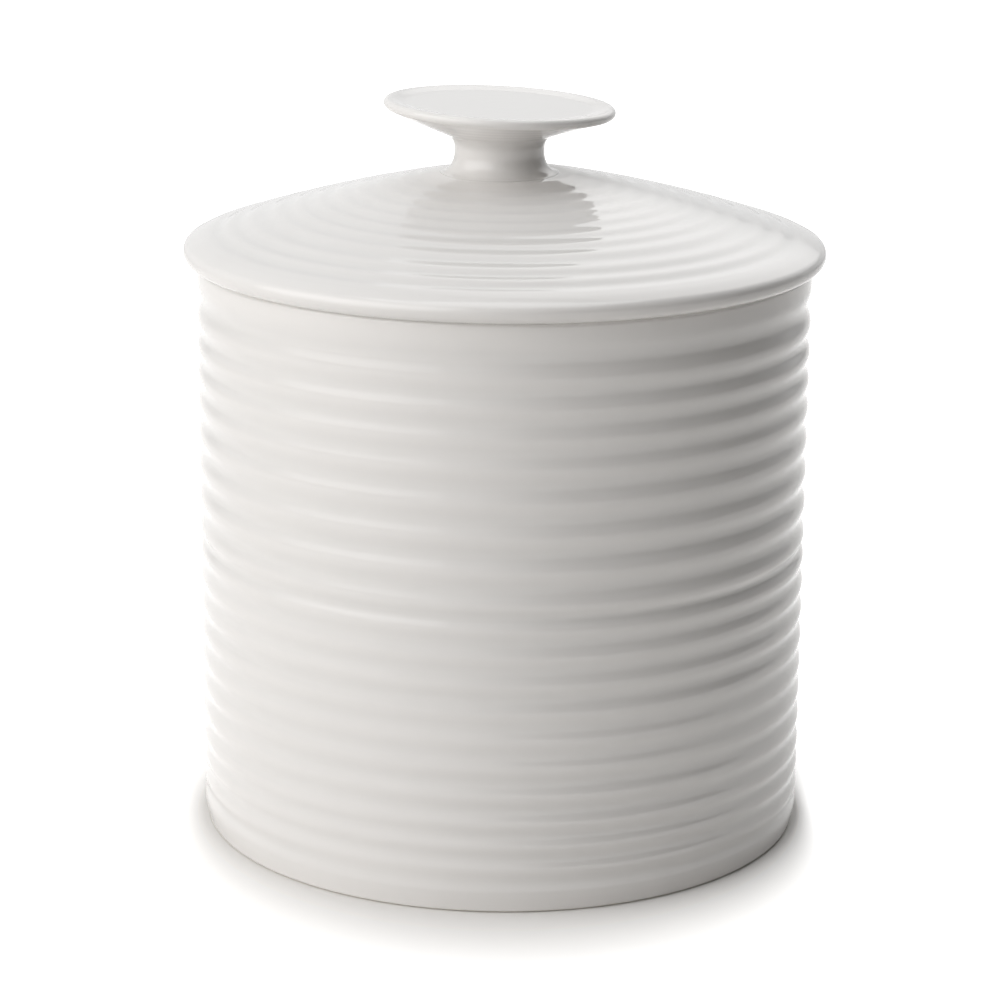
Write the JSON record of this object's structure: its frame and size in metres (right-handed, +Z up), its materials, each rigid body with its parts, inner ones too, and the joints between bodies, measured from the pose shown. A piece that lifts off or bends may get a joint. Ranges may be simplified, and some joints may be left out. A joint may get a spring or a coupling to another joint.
{
  "type": "garlic keeper",
  "caption": "Straight-walled ribbed porcelain jar on a foot ring, with a domed lid that rests on its rim and lifts off by a mushroom knob.",
  "frame": {"origin": "centre of the foot ring, on the surface that the jar stands on", "axes": "+Z up along the jar's axis; the picture looks along +Y; the knob's disc leans down towards +X"},
  "size_m": [0.136, 0.136, 0.1571],
  "materials": {
    "glazed_porcelain": "clear gloss glaze over white porcelain, bare on the foot ring and the flange's lower edge"
  },
  "bodies": {
    "jar": {"jar_body": "glazed_porcelain"},
    "lid": {"lid_cover": "glazed_porcelain", "lid_knob": "glazed_porcelain"}
  },
  "joints": [
    {"name": "lid_lift", "type": "slide", "parent": "jar", "child": "lid", "axis": [0, 0, 1], "range_m": [0, 0.15]}
  ]
}
